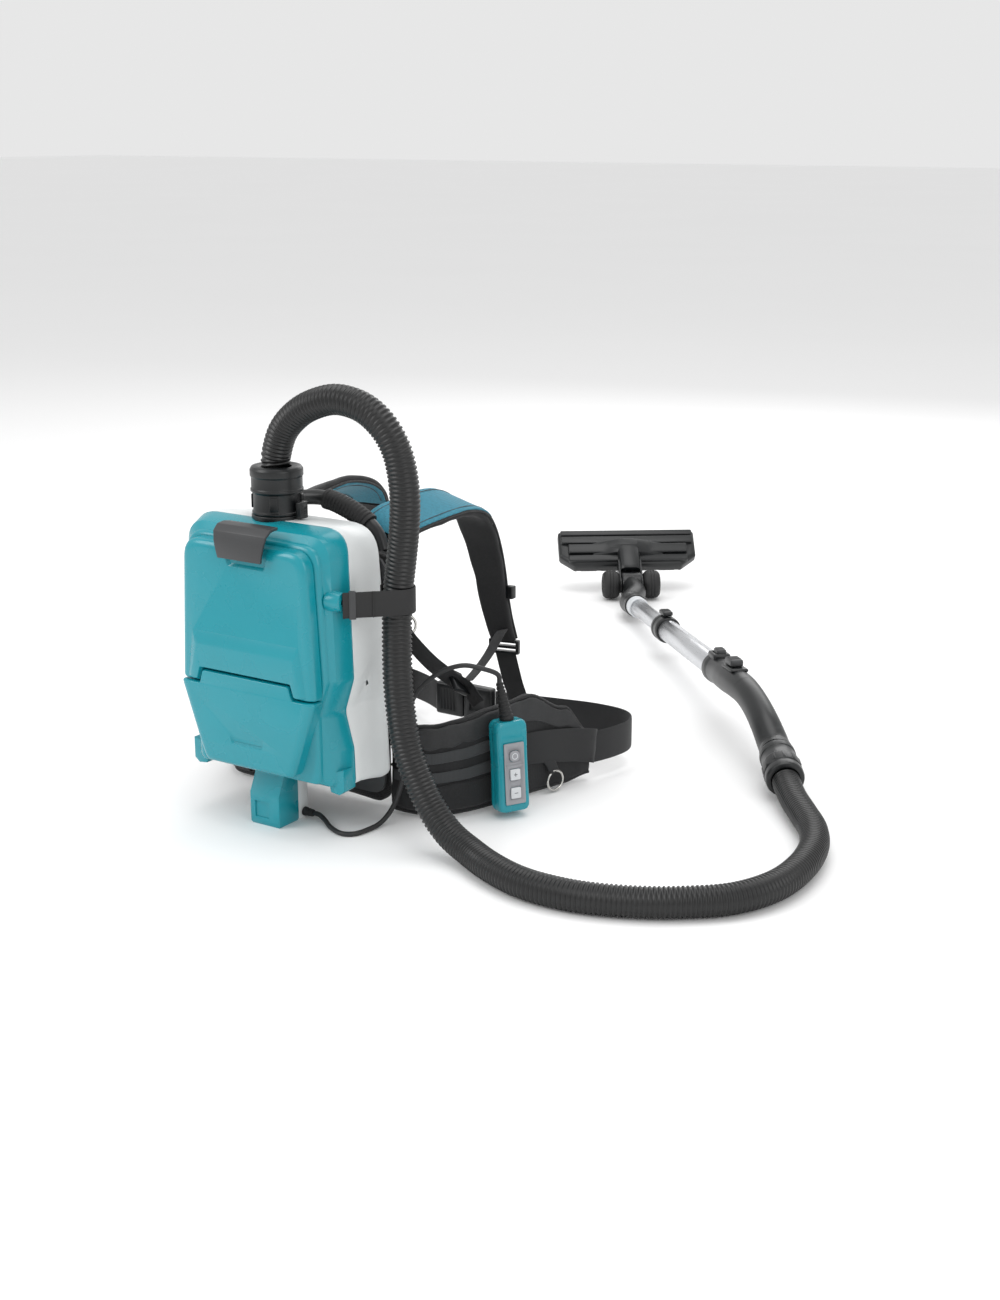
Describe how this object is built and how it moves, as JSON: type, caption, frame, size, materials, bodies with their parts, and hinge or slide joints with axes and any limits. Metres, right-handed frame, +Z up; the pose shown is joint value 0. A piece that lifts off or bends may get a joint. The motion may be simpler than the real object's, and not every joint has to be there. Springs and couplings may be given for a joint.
{
  "type": "backpack vacuum cleaner",
  "caption": "Backpack vacuum: power unit with hinged dust cover and battery bays, padded harness, corded remote, ribbed hose, telescopic wand and tilting floor head.",
  "frame": {"origin": "under the tail foot of the power unit, on the floor it stands on", "axes": "+Z up, +Y from the dust cover towards the wearer's back, +X to the right of someone who looks at the dust cover"},
  "size_m": [0.9524, 1.3853, 0.532],
  "materials": {
    "teal_plastic": "glossy injection-moulded teal shell",
    "white_plastic": "satin white moulded shell",
    "dark_plastic": "fine-textured dark grey plastic",
    "black_plastic": "fine-textured black plastic",
    "hose_plastic": "ribbed flexible hose, semi-gloss",
    "rubber": "matt rubber",
    "teal_fabric": "woven teal cover on the shoulder pads",
    "black_fabric": "woven black nylon over foam",
    "webbing": "ribbed black webbing",
    "silver_pipe": "brushed anodised tube",
    "steel": "bright steel wire",
    "paper": "paper and card bag",
    "filter_media": "pleated filter media",
    "circuit_green": "coated circuit board",
    "grey_plastic": "light grey satin plastic",
    "button_white": "white rubber keys"
  },
  "bodies": {
    "root": {"adjuster_webbing_left": "webbing", "adjuster_webbing_right": "webbing", "back_pad": "black_fabric", "bag_collar": "paper", "battery_terminal_left": "dark_plastic", "battery_terminal_right": "dark_plastic", "belt_wing_left": "black_fabric", "belt_wing_right": "black_fabric", "bent_handle": "black_plastic", "carry_handle": "black_plastic", "control_board": "circuit_green", "control_cord": "rubber", "cord_gland": "black_plastic", "cord_sleeve": "grey_plastic", "dust_bag": "paper", "front_housing": "teal_plastic", "handle_grip": "rubber", "harness_frame": "dark_plastic", "hepa_filter": "filter_media", "hose_clamp_strap": "rubber", "inlet_socket": "black_plastic", "ladder_lock_left": "black_plastic", "ladder_lock_right": "black_plastic", "motor_case": "black_plastic", "outer_pipe": "silver_pipe", "pipe_collar": "black_plastic", "rear_housing": "white_plastic", "remote_case": "teal_plastic", "remote_clip": "black_plastic", "remote_keypad": "grey_plastic", "remote_strain_relief": "black_plastic", "shoulder_strap_left": "black_fabric", "shoulder_strap_right": "black_fabric", "suction_hose": "hose_plastic", "waist_belt_back": "black_fabric", "waist_buckle_prong": "black_plastic", "waist_buckle_socket": "black_plastic", "waist_webbing_left": "webbing", "waist_webbing_right": "webbing"},
    "dust_cover": {"dust_cover": "teal_plastic"},
    "cover_latch": {"cover_latch": "dark_plastic"},
    "motor_fan": {"motor_fan": "grey_plastic"},
    "hose_cuff": {"hose_cuff": "black_plastic"},
    "cuff_release_tab": {"cuff_release_tab": "black_plastic"},
    "power_button": {"power_button": "button_white"},
    "speed_button": {"speed_button": "button_white"},
    "mode_button": {"mode_button": "button_white"},
    "belt_d_ring": {"belt_d_ring": "steel"},
    "air_slider": {"air_slider": "dark_plastic"},
    "pipe_release_button": {"pipe_release_button": "dark_plastic"},
    "collar_button": {"collar_button": "black_plastic"},
    "hose_end_cuff": {"hose_end_cuff": "black_plastic"},
    "inner_pipe": {"inner_pipe": "silver_pipe", "pipe_ferrule": "white_plastic"},
    "neck_elbow": {"neck_elbow": "black_plastic"},
    "nozzle_head": {"nozzle_head": "black_plastic", "nozzle_sole": "dark_plastic"},
    "wheel_left": {"wheel_left": "rubber"},
    "wheel_right": {"wheel_right": "rubber"}
  },
  "joints": [
    {"name": "cover_hinge", "type": "hinge", "parent": "root", "child": "dust_cover", "pos_m": [0, -0.0685, 0.1772], "axis": [1, 0, 0], "range_deg": [0, 80]},
    {"name": "latch_pivot", "type": "hinge", "parent": "dust_cover", "child": "cover_latch", "pos_m": [0.006, -0.056, 0.366], "axis": [-1, 0, 0], "range_deg": [0, 35]},
    {"name": "fan_spin", "type": "hinge", "parent": "root", "child": "motor_fan", "pos_m": [0, 0, 0.15], "axis": [0, 0, 1], "continuous": true},
    {"name": "cuff_swivel", "type": "hinge", "parent": "root", "child": "hose_cuff", "pos_m": [-0.005, 0.005, 0.4], "axis": [0, 0, 1], "continuous": true},
    {"name": "cuff_release", "type": "slide", "parent": "root", "child": "cuff_release_tab", "axis": [-1, 0, 0], "range_m": [0, 0.001], "stiffness_N_per_m": 900},
    {"name": "power_press", "type": "slide", "parent": "root", "child": "power_button", "axis": [-0.8722, 0.4812, -0.0872], "range_m": [0, 0.0008], "stiffness_N_per_m": 900},
    {"name": "speed_press", "type": "slide", "parent": "root", "child": "speed_button", "axis": [-0.8722, 0.4812, -0.0872], "range_m": [0, 0.0008], "stiffness_N_per_m": 900},
    {"name": "mode_press", "type": "slide", "parent": "root", "child": "mode_button", "axis": [-0.8722, 0.4812, -0.0872], "range_m": [0, 0.0008], "stiffness_N_per_m": 900},
    {"name": "d_ring_swing", "type": "hinge", "parent": "root", "child": "belt_d_ring", "pos_m": [0.232, 0.245, 0.0285], "axis": [-0.3011, -0.9536, 0], "range_deg": [0, 70]},
    {"name": "air_slide", "type": "slide", "parent": "root", "child": "air_slider", "axis": [0.681, -0.727, 0.0876], "range_m": [0, 0.012]},
    {"name": "pipe_release_press", "type": "slide", "parent": "root", "child": "pipe_release_button", "axis": [0.0528, -0.0588, -0.9969], "range_m": [0, 0.0012], "stiffness_N_per_m": 900},
    {"name": "collar_press", "type": "slide", "parent": "root", "child": "collar_button", "axis": [0.0528, -0.0588, -0.9969], "range_m": [0, 0.0012], "stiffness_N_per_m": 900},
    {"name": "end_cuff_swivel", "type": "hinge", "parent": "root", "child": "hose_end_cuff", "pos_m": [0.452, 0.426, 0.0395], "axis": [0.5651, -0.8051, -0.18], "continuous": true},
    {"name": "pipe_telescope", "type": "slide", "parent": "root", "child": "inner_pipe", "axis": [-0.6659, 0.7419, -0.079], "range_m": [-0.14, 0.06]},
    {"name": "neck_swivel", "type": "hinge", "parent": "inner_pipe", "child": "neck_elbow", "pos_m": [-0.07854, 1.01556, 0.03027], "axis": [-0.6659, 0.7419, -0.079], "range_deg": [-90, 90]},
    {"name": "head_tilt", "type": "hinge", "parent": "neck_elbow", "child": "nozzle_head", "pos_m": [-0.1664, 1.156, 0.0262], "axis": [0.8051, 0.5931, 0], "range_deg": [-42, 35]},
    {"name": "wheel_left_spin", "type": "hinge", "parent": "nozzle_head", "child": "wheel_left", "pos_m": [-0.19522, 1.13477, 0.0262], "axis": [0.8051, 0.5931, 0], "continuous": true},
    {"name": "wheel_right_spin", "type": "hinge", "parent": "nozzle_head", "child": "wheel_right", "pos_m": [-0.13758, 1.17723, 0.0262], "axis": [0.8051, 0.5931, 0], "continuous": true}
  ]
}
